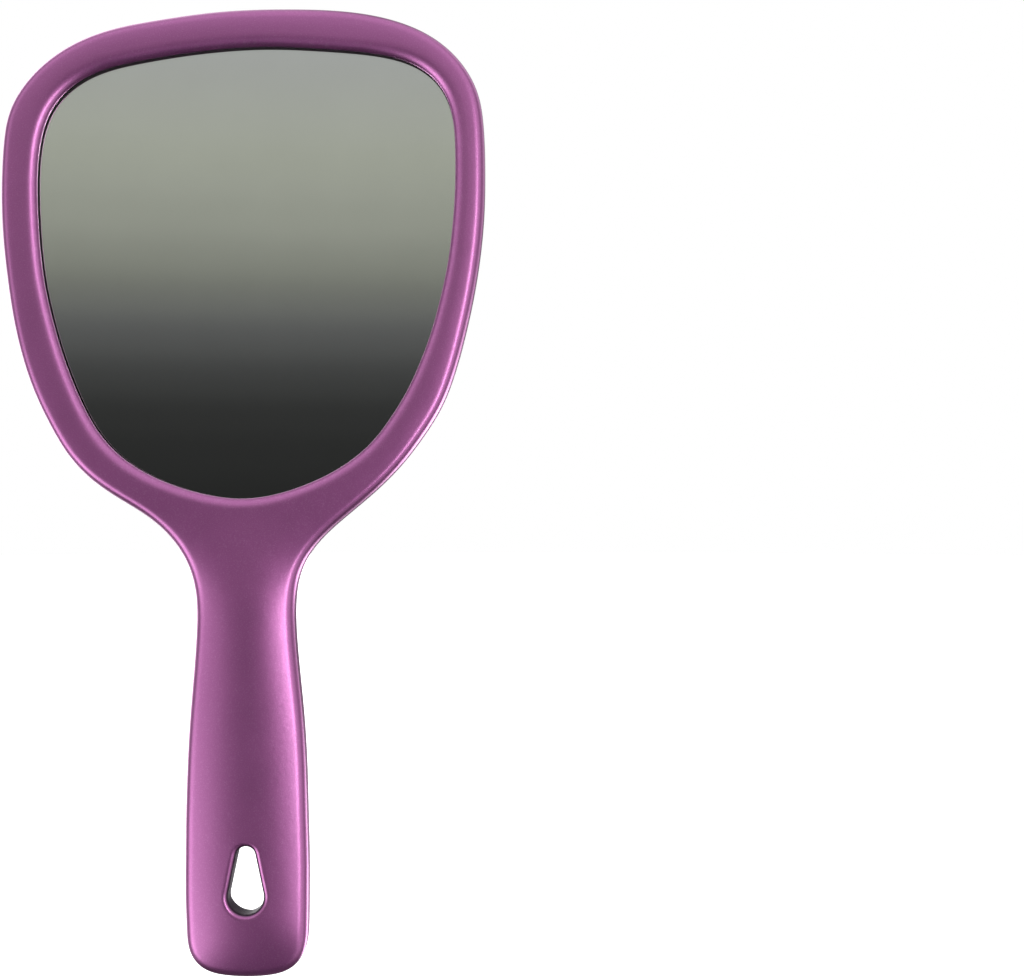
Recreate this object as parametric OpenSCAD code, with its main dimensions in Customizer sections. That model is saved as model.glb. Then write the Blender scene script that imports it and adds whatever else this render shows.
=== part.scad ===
// Three-way hand mirror: a painted two-shell plastic body, a shaped plane mirror held behind the front rim,
// and two round magnifying mirrors glued into wells in the crowned back.
// Upright, +Z from the grip to the head. The plane mirror faces -Y and the two round mirrors face +Y.
// The origin is the middle of the grip, on the parting plane of the two shells.

/* [Overall] */
// Scale of the outline across, 1 is 153 mm over the head
width_factor = 1; // [0.9:0.01:1.1]
// Scale of the outline along the handle and the head, 1 is 305 mm overall
length_factor = 1; // [0.9:0.01:1.1]

/* [Front shell] */
// Depth of the front rim from the parting plane
front_depth = 5.6; // [5:0.1:7]
// Extra crown of the grip on the front
grip_crown_front = 2.4; // [1.4:0.1:2.8]
// How wide the outer edge of the front is rounded
front_round = 3; // [2.6:0.1:5]
// Width of the rounded inner edge of the rim
flare = 3.2; // [1:0.1:3.4]
// How far the lip covers the edge of the plane mirror
lip = 2.5; // [1.5:0.1:3]

/* [Back shell] */
// Height of the back at its edge, after the rounding
back_edge = 4.6; // [4:0.1:6]
// Crown of the head above that
head_crown = 4; // [2.5:0.1:5.5]
// Crown of the grip above that
grip_crown_back = 2.6; // [1:0.1:4]
// How wide the outer edge of the back is rounded
back_round = 3; // [2.6:0.1:5]

/* [Shells] */
// Wall of both shells
wall = 2.2; // [1.6:0.1:2.4]
// Length of the locating tongue of the back shell
tongue = 1.2; // [0.6:0.1:1.6]
// Play between the tongue and the front shell
play = 0.1; // [0.05:0.05:0.3]

/* [Plane mirror] */
// Thickness of the plane mirror's glass
glass = 2; // [1.5:0.1:2]
// Thickness of the silver and its protective paint
silver = 0.2; // [0.1:0.05:0.3]

/* [Round mirrors] */
// Radius of the upper round mirror
upper_r = 31.3; // [29:0.1:32]
// Radius of the lower round mirror
lower_r = 29.5; // [27:0.1:30]
// Radius of curvature of the upper round mirror
upper_curve = 1600; // [800:100:3000]
// Radius of curvature of the lower round mirror
lower_curve = 600; // [400:50:1200]
// Glass of the round mirrors
round_glass = 1.8; // [1.4:0.1:2]
// Foam tape behind the round mirrors, at the middle
tape = 0.6; // [0.4:0.1:0.8]
// Gap between a round mirror and its well
well_gap = 0.4; // [0.2:0.1:0.8]

/* [Hanging hole] */
// Radius of the round end of the hole
hole_r = 5.6; // [4.5:0.1:6]
// Radius of the narrow end of the hole
hole_tip_r = 3; // [2:0.1:4]
// Distance between the centres of the two ends
hole_reach = 12.8; // [9:0.1:15]
// How much wider the hole is through the back shell
hole_step = 1.4; // [0.4:0.1:1.6]

/* [Detail] */
// Straight pieces between two stations of the outline
smooth = 2; // [1:1:3]

/* [Hidden] */

// Stations of the outline in mm, from the end of the grip up each side to the top of the head: [x, z].
end_of_grip = [0, -70];
top_of_head = [13, 235.7];
right_side = [[7.5, -69.5], [13.5, -67.6], [17.6, -63], [19.1, -55], [19.3, -45], [19.3, -33], [19, -21], [18.7, -9],
    [18.2, 3], [17.3, 15], [16.1, 27], [15.1, 39.5], [15.2, 50.5], [17.3, 59.5], [22.3, 67.2], [29, 73.7], [36.5, 80],
    [43.5, 86.3], [50, 93.3], [56, 101.3], [61.5, 110.3], [65.7, 121], [69, 133], [72, 147], [74, 160.5], [75, 173],
    [75.2, 186], [74.8, 198], [72.8, 209.5], [67.8, 218.6], [59, 226.6], [47, 232], [31, 235]];
left_side = [[-7.5, -69.5], [-13.7, -67.6], [-17.8, -63], [-19.2, -55], [-19.6, -45], [-19.6, -33], [-19.5, -21], [-19.2, -9],
    [-18.7, 3], [-17.9, 15], [-16.9, 27], [-16.1, 39.5], [-16.3, 50.5], [-18.5, 59.5], [-23.3, 67.7], [-31, 75],
    [-40.3, 80.9], [-49, 86.9], [-56.5, 94.7], [-62.2, 104], [-67, 114], [-71, 125.5], [-74, 138.5], [-76, 152],
    [-77.3, 165], [-77.7, 178], [-77.2, 191], [-75, 203.5], [-69, 213.5], [-59, 222.3], [-45.5, 228.6], [-29, 232.2],
    [-9, 234.9]];
// Stations of the opening over the plane mirror.
open_bottom = [-2.7, 81.1];
open_top = [7.9, 223.6];
open_right = [[8.4, 82.3], [17.5, 85.1], [26.7, 89.3], [34.3, 94.3], [40.4, 100], [45.4, 106.7], [50.2, 114.5],
    [54.3, 123.3], [57.9, 132.9], [60.8, 143.4], [63.3, 155], [64.9, 167.5], [65.7, 180.1], [65.7, 191.6], [64.7, 202.2],
    [61.3, 210.7], [54, 217.3], [42.4, 221.1], [26.2, 222.8]];
open_left = [[-12.9, 82.4], [-22.5, 85.1], [-32.1, 89.3], [-40.3, 94.9], [-46.5, 101.7], [-51.2, 109.7], [-55, 118.3],
    [-58.3, 127.3], [-61.2, 137.4], [-63.6, 147.9], [-65.1, 159], [-65.9, 170.5], [-66.1, 182.1], [-65.1, 193.2],
    [-62.4, 202.2], [-57, 209.5], [-48.4, 215.1], [-34.7, 219], [-15.4, 222.1]];

function mm(p) = [p[0] * width_factor, p[1] * length_factor];
function turned(a) = [for (i = [len(a) - 1:-1:0]) a[i]];
function loop_of(a, r, b, l) = [for (p = concat([a], r, [b], turned(l))) mm(p)];
function spline(p, q, r, s, t) = 0.5 * (2 * q + (r - p) * t + (2 * p - 5 * q + 4 * r - s) * t * t + (3 * q - p - 3 * r + s) * t * t * t);
function through(c, m) = let (k = len(c)) [for (i = [0:k - 1]) for (j = [0:m - 1])
    spline(c[(i + k - 1) % k], c[i], c[(i + 1) % k], c[(i + 2) % k], j / m)];
function unit(v) = v / norm(v);
// The direction into the loop at point i.
function inward(p, i) = let (k = len(p), d = unit(p[(i + 1) % k] - p[(i + k - 1) % k])) [-d[1], d[0]];
function inset(p, d) = [for (i = [0:len(p) - 1]) p[i] + d * inward(p, i)];

outline = through(loop_of(end_of_grip, right_side, top_of_head, left_side), smooth);
opening = through(loop_of(open_bottom, open_right, open_top, open_left), smooth);
N = len(outline);
half = N / 2;

// The spine that each pair of stations leans to: straight up the grip, and the fans of ribs at both ends.
function pair(i) = (N - i) % N;
function middle(i) = (outline[i] + outline[pair(i)]) / 2;
function clamp(v, a, b) = min(max(v, a), b);
spine = [for (i = [0:N - 1]) [middle(i)[0] * 0.5, clamp(middle(i)[1], -52 * length_factor, 160 * length_factor)]];
// 0 on the grip, 1 on the head.
function ease(u) = let (v = clamp(u, 0, 1)) v * v * (3 - 2 * v);
on_head = [for (i = [0:N - 1]) ease((spine[i][1] - 45 * length_factor) / (36 * length_factor))];

// A point of ring [d, t]: d mm in from the outline, then the share t of the way to the spine.
function at(i, d, t) = let (p = outline[i] + d * inward(outline, i)) p + t * (spine[i] - p);
// The same as a share of the whole way.
function share(i, d, t) = let (w = norm(outline[i] - spine[i])) 1 - (1 - t) * max(w - d, 0) / w;
// The rounding of an edge, steep at 0 and level at 1.
function edge(u) = sqrt(1 - pow(1 - clamp(u, 0, 1), 2.4));
function crown(u) = 1 - pow(1 - clamp(u, 0, 1), 2);
function lerp(a, b, u) = a + (b - a) * u;

front_side = 2.4;
back_side = 1.6;
// How much lower than the head's rim the grip's edge is.
grip_drop = 1;
function drop(i) = grip_drop * (1 - on_head[i]);
function front_y(i, d, t) = -(front_side + (front_depth - front_side - drop(i)) * edge(d / front_round)
    + grip_crown_front * (1 - on_head[i]) * crown(share(i, d, t)));
function front_inner_y(i, d, t) = -(0.6 + (front_depth - wall - 0.6 - drop(i)) * edge((d - wall) / (front_round + 0.6 - wall))
    + grip_crown_front * (1 - on_head[i]) * crown(share(i, d, t)));
function back_crown(i) = lerp(grip_crown_back, head_crown, on_head[i]);
function back_y(i, d, t) = back_side + (back_edge - back_side) * edge(d / back_round) + back_crown(i) * crown(share(i, d, t));
back_in = wall + play + 1;
function back_inner_y(i, d, t) = 0.3 + (back_edge - wall - 0.3) * edge((d - back_in) / (back_round + 1.2 - back_in))
    + back_crown(i) * crown(share(i, d, t));

// A closed solid through rings of N points, with a strip of flat quads over each end.
function wrap(k, n) = [for (r = [0:k - 2]) for (i = [0:n - 1]) let (j = (i + 1) % n)
    each [[r * n + i, r * n + j, (r + 1) * n + j], [r * n + i, (r + 1) * n + j, (r + 1) * n + i]]];
function strip(o, n, up) = let (h = n / 2) [for (i = [0:h - 1]) let (a = i, b = i + 1, c = (n - i - 1) % n, e = (n - i) % n)
    each concat(i < h - 1 ? [up ? [o + a, o + b, o + c] : [o + c, o + b, o + a]] : [],
        i > 0 ? [up ? [o + a, o + c, o + e] : [o + e, o + c, o + a]] : [])];
module skin(rings, flip = false) {
    n = len(rings[0]);
    k = len(rings);
    faces = concat(wrap(k, n), strip(0, n, false), strip((k - 1) * n, n, true));
    polyhedron(points = [for (r = rings) each r], faces = flip ? faces : [for (f = faces) [f[0], f[2], f[1]]]);
}
function level(p, y) = [for (q = p) [q[0], y, q[1]]];

edge_steps = [0, 0.05, 0.14, 0.27, 0.45, 0.7, 1];
crown_steps = [0.12, 0.3, 0.55, 0.9];
function ring_on(d, t, y) = [for (i = [0:N - 1]) let (p = at(i, d, t)) [p[0], y == "front" ? front_y(i, d, t)
    : y == "front_inner" ? front_inner_y(i, d, t) : y == "back" ? back_y(i, d, t) : back_inner_y(i, d, t), p[1]]];

module front_solid()
    skin(concat([level(outline, 0)],
        [for (e = edge_steps) ring_on(e * front_round, 0, "front")],
        [for (t = crown_steps) ring_on(front_round, t, "front")]));
module front_cavity()
    skin(concat([level(inset(outline, wall), 1)],
        [for (e = [0, 0.08, 0.25, 0.55, 1]) ring_on(wall + e * (front_round + 0.6 - wall), 0, "front_inner")],
        [for (t = crown_steps) ring_on(front_round + 0.6, t, "front_inner")]));
module back_solid()
    skin(concat([level(inset(outline, wall + play), -tongue), level(inset(outline, wall + play), 0), level(outline, 0)],
        [for (e = edge_steps) ring_on(e * back_round, 0, "back")],
        [for (t = crown_steps) ring_on(back_round, t, "back")]), true);
module back_cavity()
    skin(concat([level(inset(outline, back_in), -tongue - 1)],
        [for (e = [0, 0.08, 0.25, 0.55, 1]) ring_on(back_in + e * (back_round + 1.2 - back_in), 0, "back_inner")],
        [for (t = crown_steps) ring_on(back_round + 1.2, t, "back_inner")]), true);

// A prism along +Y over a loop, from y0 to y1.
module plate(p, y0, y1) translate([0, y1, 0]) rotate([90, 0, 0]) linear_extrude(y1 - y0) polygon(p);
// A cylinder along +Y.
module rod(r, y0, y1, at) translate([at[0], y0, at[1]]) rotate([-90, 0, 0]) cylinder(r = r, h = y1 - y0, $fn = 96);

// The hanging hole: a teardrop with its wide end towards the end of the grip.
hole_at = [0, -44.1 * length_factor];
// The tangent lines leave both ends at this angle above level.
hole_angle = asin((hole_r - hole_tip_r) / hole_reach);
function teardrop(more, n = 24) = let (r = hole_r + more, q = hole_tip_r + more) concat(
    [for (i = [0:n - 1]) let (a = -90 + (90 + hole_angle) * i / (n - 1)) hole_at + r * [cos(a), sin(a)]],
    [for (i = [0:n - 2]) let (a = hole_angle + (90 - hole_angle) * i / (n - 2)) hole_at + [0, hole_reach] + q * [cos(a), sin(a)]],
    [for (i = [1:n - 2]) let (a = 90 + (90 - hole_angle) * i / (n - 2)) hole_at + [0, hole_reach] + q * [cos(a), sin(a)]],
    [for (i = [0:n - 2]) let (a = 180 - hole_angle + (90 + hole_angle) * i / (n - 1)) hole_at + r * [cos(a), sin(a)]]);
tube_wall = 1.6;
grip_front = front_depth - grip_drop + grip_crown_front;
grip_back = back_edge + grip_crown_back;
round_steps = [0, 20, 40, 60, 80];

// Cuts the hole through the front with its rounded mouth.
module hole_front() {
    m = 1.7;
    skin(concat([level(teardrop(0), 1), level(teardrop(0), -grip_front + m)],
        [for (a = round_steps) if (a > 0) level(teardrop(m * (1 - cos(a))), -grip_front + m - m * sin(a))],
        [level(teardrop(m), -grip_front - 1)]));
}
module hole_back() {
    m = 1.2;
    skin(concat([level(teardrop(hole_step), -1), level(teardrop(hole_step), grip_back - m)],
        [for (a = round_steps) if (a > 0) level(teardrop(hole_step + m * (1 - cos(a))), grip_back - m + m * sin(a))],
        [level(teardrop(hole_step + m), grip_back + 1)]), true);
}

// The plane mirror lies against the inside of the front wall.
glass_y = -(front_depth - wall);
glass_back = glass_y + glass;
silver_back = glass_back + silver;
// What the cups and posts of the back shell reach down to, over the foam pads.
pad = 0.8;
pad_back = silver_back + pad;
well_floor = pad_back + 1.4;

module opening_cut() {
    depth = min(flare * 0.62, wall - 0.3);
    skin(concat([level(opening, glass_y + 1), level(opening, -front_depth + depth)],
        [for (a = round_steps) if (a > 0) level(inset(opening, -flare * (1 - cos(a))), -front_depth + depth - depth * sin(a))],
        [level(inset(opening, -flare), -front_depth - 0.05), level(inset(opening, -flare), -front_depth - 2)]));
}

// Where the two round mirrors and the posts sit: [x, z].
upper_at = [23.8 * width_factor, 187.3 * length_factor];
lower_at = [-20.2 * width_factor, 130.9 * length_factor];
post_at = [[-40 * width_factor, 178 * length_factor], [38 * width_factor, 124 * length_factor]];
upper_well = upper_r + well_gap;
lower_well = lower_r + well_gap;
back_top = back_edge + head_crown;

// A straight well whose mouth widens through the crown.
module well(c, r) translate([c[0], 0, c[1]]) rotate([-90, 0, 0])
    rotate_extrude($fn = 96) polygon(concat([[0, well_floor], [r, well_floor], [r, back_edge]],
        [for (i = [1:5]) [r + 2.2 * pow(i / 5, 1.5), back_edge + head_crown * i / 5]],
        [[r + 2.2, back_top + 3], [0, back_top + 3]]));

module front_frame() color([0.5, 0.3, 0.48]) difference() {
    difference() {
        difference() {
            front_solid();
            difference() {
                front_cavity();
                // the rib that keeps the plane mirror in place
                difference() {
                    plate(inset(opening, -lip - 1.3), -front_depth - 3, glass_back);
                    plate(inset(opening, -lip - 0.15), -front_depth - 4, glass_back + 1);
                }
                plate(teardrop(tube_wall), -grip_front - 1, 0);
            }
        }
        opening_cut();
    }
    hole_front();
}

module back_cover() color([0.54, 0.33, 0.52]) difference() {
    difference() {
        difference() {
            difference() {
                back_solid();
                difference() {
                    back_cavity();
                    rod(upper_well + 1.6, pad_back, back_top + 5, upper_at);
                    rod(lower_well + 1.6, pad_back, back_top + 5, lower_at);
                    for (p = post_at) rod(5, pad_back, back_top + 5, p);
                    plate(teardrop(hole_step + tube_wall), 0, grip_back + 5);
                }
            }
            well(upper_at, upper_well);
        }
        well(lower_at, lower_well);
    }
    hole_back();
}

module main_mirror_glass() color([0.8, 0.85, 0.84]) plate(inset(opening, -lip), glass_y, glass_back);
module main_mirror_backing() color([0.45, 0.46, 0.47]) plate(inset(opening, -lip + 0.3), glass_back, silver_back);

// A dished disc between two curved faces: y from a to b at the middle.
function sag(r, c) = c - sqrt(c * c - r * r);
function arc_line(r, c, y, n = 12) = [for (i = [0:n]) [r * i / n, y + sag(r * i / n, c)]];
module dished(at, r, c, a, b) translate([at[0], 0, at[1]]) rotate([-90, 0, 0])
    rotate_extrude($fn = 96) polygon(concat(arc_line(r, c, a), turned(arc_line(r, c, b))));
// The tape is flat below and follows the back of the glass above.
module taped(at, r, c, a, b) translate([at[0], 0, at[1]]) rotate([-90, 0, 0])
    rotate_extrude($fn = 96) polygon(concat([[0, a], [r, a]], turned(arc_line(r, c, b))));
tape_top = well_floor + tape;
round_front = tape_top + silver + round_glass;

module upper_round_glass() color([0.78, 0.82, 0.82]) dished(upper_at, upper_r, upper_curve, tape_top + silver, round_front);
module upper_round_backing() color([0.45, 0.46, 0.47]) dished(upper_at, upper_r, upper_curve, tape_top, tape_top + silver);
module upper_round_foam_tape() color([0.9, 0.9, 0.88]) taped(upper_at, upper_r, upper_curve, well_floor, tape_top);
module lower_round_glass() color([0.78, 0.82, 0.82]) dished(lower_at, lower_r, lower_curve, tape_top + silver, round_front);
module lower_round_backing() color([0.45, 0.46, 0.47]) dished(lower_at, lower_r, lower_curve, tape_top, tape_top + silver);
module lower_round_foam_tape() color([0.9, 0.9, 0.88]) taped(lower_at, lower_r, lower_curve, well_floor, tape_top);

// Foam between the plane mirror's back and what bears on it.
module foam(r, c) color([0.25, 0.25, 0.27]) rod(r, silver_back, pad_back, c);
module foam_pad_upper_cup() foam(14, upper_at);
module foam_pad_lower_cup() foam(14, lower_at);
module foam_pad_left_post() foam(4.5, post_at[0]);
module foam_pad_right_post() foam(4.5, post_at[1]);

front_frame();
back_cover();
main_mirror_glass();
main_mirror_backing();
upper_round_glass();
upper_round_backing();
upper_round_foam_tape();
lower_round_glass();
lower_round_backing();
lower_round_foam_tape();
foam_pad_upper_cup();
foam_pad_lower_cup();
foam_pad_left_post();
foam_pad_right_post();
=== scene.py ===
# A hand mirror: painted two-shell body, a plane mirror in front and two round mirrors in the crowned back.
import math

import bpy
import numpy as np
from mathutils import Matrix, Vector, kdtree
from mathutils.geometry import delaunay_2d_cdt

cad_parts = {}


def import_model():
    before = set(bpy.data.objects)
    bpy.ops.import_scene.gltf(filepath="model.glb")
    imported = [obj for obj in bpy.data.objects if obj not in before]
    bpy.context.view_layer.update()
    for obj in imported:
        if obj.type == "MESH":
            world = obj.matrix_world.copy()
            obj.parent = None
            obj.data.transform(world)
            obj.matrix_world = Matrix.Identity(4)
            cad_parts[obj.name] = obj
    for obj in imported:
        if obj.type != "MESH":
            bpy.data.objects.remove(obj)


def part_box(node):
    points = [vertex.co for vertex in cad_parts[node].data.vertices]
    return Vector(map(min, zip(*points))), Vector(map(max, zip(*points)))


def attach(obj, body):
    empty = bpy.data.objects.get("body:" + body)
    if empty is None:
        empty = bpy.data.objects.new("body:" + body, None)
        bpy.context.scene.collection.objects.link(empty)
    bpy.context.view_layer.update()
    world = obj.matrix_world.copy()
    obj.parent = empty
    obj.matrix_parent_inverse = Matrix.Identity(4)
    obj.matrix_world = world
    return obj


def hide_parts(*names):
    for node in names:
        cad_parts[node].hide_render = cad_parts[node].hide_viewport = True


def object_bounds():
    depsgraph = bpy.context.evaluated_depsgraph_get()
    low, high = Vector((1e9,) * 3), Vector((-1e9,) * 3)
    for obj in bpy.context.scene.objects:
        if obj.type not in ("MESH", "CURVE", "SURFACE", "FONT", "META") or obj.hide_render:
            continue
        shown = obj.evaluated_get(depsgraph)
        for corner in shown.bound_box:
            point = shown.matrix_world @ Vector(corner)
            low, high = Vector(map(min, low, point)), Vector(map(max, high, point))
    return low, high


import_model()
cad_lo, cad_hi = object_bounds()
scene = bpy.context.scene

# ---------------------------------------------------------------- camera, at the photograph's viewing angle
D = 0.51  # from the body's widest plane to the lens
PX = 0.0003164  # one pixel of the 1024 px frame at that plane
cam_data = bpy.data.cameras.new("camera")
cam_data.sensor_width = 36.0
cam_data.lens = 36.0 * D / (1024 * PX)
cam_data.clip_start, cam_data.clip_end = 0.01, 30.0
camera = bpy.data.objects.new("camera", cam_data)
scene.collection.objects.link(camera)
camera.location = (0.0837, -D - 0.0024, 0.0838)
camera.rotation_euler = (math.pi / 2, 0, 0)
scene.camera = camera

# ---------------------------------------------------------------- the design's numbers, in mm
FRONT_DEPTH, FRONT_ROUND, FRONT_SIDE, GRIP_CROWN_FRONT, GRIP_DROP = 5.6, 3.0, 2.4, 2.4, 1.0
BACK_EDGE, BACK_ROUND, BACK_SIDE, HEAD_CROWN, GRIP_CROWN_BACK = 4.6, 3.0, 1.6, 4.0, 2.6
WALL, PLAY, TONGUE, LIP, FLARE = 2.2, 0.1, 1.2, 2.5, 3.2
FLARE_DEPTH = min(FLARE * 0.62, WALL - 0.3)
GLASS, SILVER, PAD, TAPE, ROUND_GLASS = 2.0, 0.2, 0.8, 0.6, 1.8
UPPER, UPPER_R, UPPER_CURVE = np.array([23.8, 187.3]), 31.3, 1600.0
LOWER, LOWER_R, LOWER_CURVE = np.array([-20.2, 130.9]), 29.5, 600.0
WELL_GAP, WELL_MOUTH = 0.4, 1.9
HOLE, HOLE_R, HOLE_TIP, HOLE_REACH, HOLE_STEP = np.array([0.0, -44.1]), 5.6, 3.0, 12.8, 1.4
POSTS = [np.array([-40.0, 178.0]), np.array([38.0, 124.0])]
GLASS_Y = -(FRONT_DEPTH - WALL)
GLASS_BACK = GLASS_Y + GLASS
SILVER_BACK = GLASS_BACK + SILVER
PAD_BACK = SILVER_BACK + PAD
WELL_FLOOR = PAD_BACK + 1.4

END, TOP = (0, -70), (13, 235.7)
RIGHT = [(7.5, -69.5), (13.5, -67.6), (17.6, -63), (19.1, -55), (19.3, -45), (19.3, -33), (19, -21), (18.7, -9),
         (18.2, 3), (17.3, 15), (16.1, 27), (15.1, 39.5), (15.2, 50.5), (17.3, 59.5), (22.3, 67.2), (29, 73.7), (36.5, 80),
         (43.5, 86.3), (50, 93.3), (56, 101.3), (61.5, 110.3), (65.7, 121), (69, 133), (72, 147), (74, 160.5), (75, 173),
         (75.2, 186), (74.8, 198), (72.8, 209.5), (67.8, 218.6), (59, 226.6), (47, 232), (31, 235)]
LEFT = [(-7.5, -69.5), (-13.7, -67.6), (-17.8, -63), (-19.2, -55), (-19.6, -45), (-19.6, -33), (-19.5, -21), (-19.2, -9),
        (-18.7, 3), (-17.9, 15), (-16.9, 27), (-16.1, 39.5), (-16.3, 50.5), (-18.5, 59.5), (-23.3, 67.7), (-31, 75),
        (-40.3, 80.9), (-49, 86.9), (-56.5, 94.7), (-62.2, 104), (-67, 114), (-71, 125.5), (-74, 138.5), (-76, 152),
        (-77.3, 165), (-77.7, 178), (-77.2, 191), (-75, 203.5), (-69, 213.5), (-59, 222.3), (-45.5, 228.6), (-29, 232.2),
        (-9, 234.9)]
O_END, O_TOP = (-2.7, 81.1), (7.9, 223.6)
O_RIGHT = [(8.4, 82.3), (17.5, 85.1), (26.7, 89.3), (34.3, 94.3), (40.4, 100), (45.4, 106.7), (50.2, 114.5), (54.3, 123.3),
           (57.9, 132.9), (60.8, 143.4), (63.3, 155), (64.9, 167.5), (65.7, 180.1), (65.7, 191.6), (64.7, 202.2),
           (61.3, 210.7), (54, 217.3), (42.4, 221.1), (26.2, 222.8)]
O_LEFT = [(-12.9, 82.4), (-22.5, 85.1), (-32.1, 89.3), (-40.3, 94.9), (-46.5, 101.7), (-51.2, 109.7), (-55, 118.3),
          (-58.3, 127.3), (-61.2, 137.4), (-63.6, 147.9), (-65.1, 159), (-65.9, 170.5), (-66.1, 182.1), (-65.1, 193.2),
          (-62.4, 202.2), (-57, 209.5), (-48.4, 215.1), (-34.7, 219), (-15.4, 222.1)]


# ---------------------------------------------------------------- curves
def closed_spline(points, per):
    """A smooth closed curve through the points, cubic with continuous curvature."""
    p = np.array(points, float)
    n = len(p)
    h = np.linalg.norm(np.roll(p, -1, 0) - p, axis=1)
    a = np.zeros((n, n))
    rhs = np.zeros((n, 2))
    for i in range(n):
        hp = h[i - 1]
        a[i, i - 1] += hp
        a[i, i] += 2 * (hp + h[i])
        a[i, (i + 1) % n] += h[i]
        rhs[i] = 6 * ((p[(i + 1) % n] - p[i]) / h[i] - (p[i] - p[i - 1]) / hp)
    m = np.linalg.solve(a, rhs)
    out = []
    for i in range(n):
        j = (i + 1) % n
        for k in range(per):
            t = h[i] * k / per
            u = h[i] - t
            out.append((m[i] * u**3 + m[j] * t**3) / (6 * h[i]) + (p[i] / h[i] - m[i] * h[i] / 6) * u + (p[j] / h[i] - m[j] * h[i] / 6) * t)
    return np.array(out)


def evenly(p, step):
    """The same closed curve with points at even distances."""
    q = np.vstack([p, p[:1]])
    s = np.concatenate([[0], np.cumsum(np.linalg.norm(np.diff(q, axis=0), axis=1))])
    n = max(int(round(s[-1] / step)), 12)
    at = np.arange(n) * s[-1] / n
    return np.column_stack([np.interp(at, s, q[:, 0]), np.interp(at, s, q[:, 1])])


def blurred(p, sigma):
    k = int(3 * sigma) + 1
    w = np.exp(-0.5 * (np.arange(-k, k + 1) / sigma) ** 2)
    w /= w.sum()
    out = np.zeros_like(p)
    for i, x in enumerate(w):
        out += x * np.roll(p, i - k, axis=0)
    return out


def faired(p, sigma):
    """Takes the small waves out of a curve and keeps its corners where they are."""
    b = blurred(p, sigma)
    return b + (b - blurred(b, sigma))


def normals(p):
    """The direction into a loop that runs anticlockwise, seen from the front."""
    d = np.roll(p, -1, 0) - np.roll(p, 1, 0)
    d /= np.linalg.norm(d, axis=1)[:, None]
    return np.column_stack([-d[:, 1], d[:, 0]])


def inset(p, d):
    return p + normals(p) * d


STEP = 1.1
fine_outline = faired(evenly(closed_spline([END] + RIGHT + [TOP] + LEFT[::-1], 40), 0.25), 11)
fine_opening = faired(evenly(closed_spline([O_END] + O_RIGHT + [O_TOP] + O_LEFT[::-1], 40), 0.25), 14)
outline = evenly(fine_outline, STEP)
opening = evenly(fine_opening, STEP)


def circle(c, r, n):
    a = np.arange(n) * 2 * math.pi / n
    return np.column_stack([c[0] + r * np.cos(a), c[1] + r * np.sin(a)])


def teardrop(more, step=0.45):
    """The hanging hole's outline: two arcs and their tangents, wide end below."""
    r, q = HOLE_R + more, HOLE_TIP + more
    lean = math.asin((HOLE_R - HOLE_TIP) / HOLE_REACH)
    tip = HOLE + (0, HOLE_REACH)
    a = np.linspace(-math.pi / 2, lean, 33)
    b = np.linspace(lean, math.pi / 2, 17)
    side = np.vstack([HOLE + r * np.column_stack([np.cos(a), np.sin(a)]), tip + q * np.column_stack([np.cos(b), np.sin(b)])])
    other = side[::-1].copy()
    other[:, 0] = 2 * HOLE[0] - other[:, 0]
    loop = np.vstack([side, other[1:-1]])
    n = int(round((2 * math.pi * HOLE_R + 20) / step))
    q2 = np.vstack([loop, loop[:1]])
    s = np.concatenate([[0], np.cumsum(np.linalg.norm(np.diff(q2, axis=0), axis=1))])
    at = np.arange(n) * s[-1] / n
    return np.column_stack([np.interp(at, s, q2[:, 0]), np.interp(at, s, q2[:, 1])])


class Field:
    """Signed distance into a loop, from its nearest point and that point's normal."""

    def __init__(self, loop):
        self.p = loop
        self.n = normals(loop)
        self.tree = kdtree.KDTree(len(loop))
        for i, q in enumerate(loop):
            self.tree.insert((q[0], q[1], 0), i)
        self.tree.balance()

    def __call__(self, pts):
        idx = np.array([self.tree.find((x, z, 0))[1] for x, z in pts])
        v = pts - self.p[idx]
        along = (v * self.n[idx]).sum(1)
        far = np.linalg.norm(v, axis=1)
        return np.where(far > 0.6, np.sign(along) * far, along)


in_outline = Field(fine_outline)
in_opening = Field(fine_opening)
in_hole = Field(evenly(teardrop(0, 0.1), 0.1))

# ---------------------------------------------------------------- the crown, as a smooth field over the whole body
GRID = 1.0
X0, Z0 = -92.0, -84.0
NX, NZ = 185, 336


def edge(u):
    return np.sqrt(np.maximum(1 - (1 - np.clip(u, 0, 1)) ** 2.4, 0))


def ease(u):
    u = np.clip(u, 0, 1)
    return u * u * (3 - 2 * u)


def gauss2(f, sigma):
    k = int(3 * sigma / GRID) + 1
    w = np.exp(-0.5 * (np.arange(-k, k + 1) * GRID / sigma) ** 2)
    w /= w.sum()
    for axis in (0, 1):
        pad = [(k, k) if a == axis else (0, 0) for a in (0, 1)]
        g = np.pad(f, pad, mode="edge")
        f = sum(w[i] * np.take(g, np.arange(f.shape[axis]) + i, axis=axis) for i in range(2 * k + 1))
    return f


gx, gz = np.meshgrid(X0 + GRID * np.arange(NX), Z0 + GRID * np.arange(NZ), indexing="ij")
cells = np.column_stack([gx.ravel(), gz.ravel()])
d_grid = in_outline(cells).reshape(NX, NZ)
spine_z = np.clip(gz, -52, 160)
spine_x = np.where(gz > 100, -1.0 * ease((gz - 60) / 80), 0)
to_spine = np.hypot(gx - spine_x, gz - spine_z)
share = np.clip(d_grid, -8, None) / (np.clip(d_grid, -8, None) + to_spine + 1e-6)
dome = 1 - (1 - share) ** 2
on_head = ease((gz - 45) / 36)
head_share = gauss2(on_head, 3.0)
crown_back = gauss2(dome * (GRIP_CROWN_BACK + (HEAD_CROWN - GRIP_CROWN_BACK) * on_head), 5.0)
crown_front = gauss2(dome * GRIP_CROWN_FRONT * (1 - on_head), 4.0)


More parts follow.
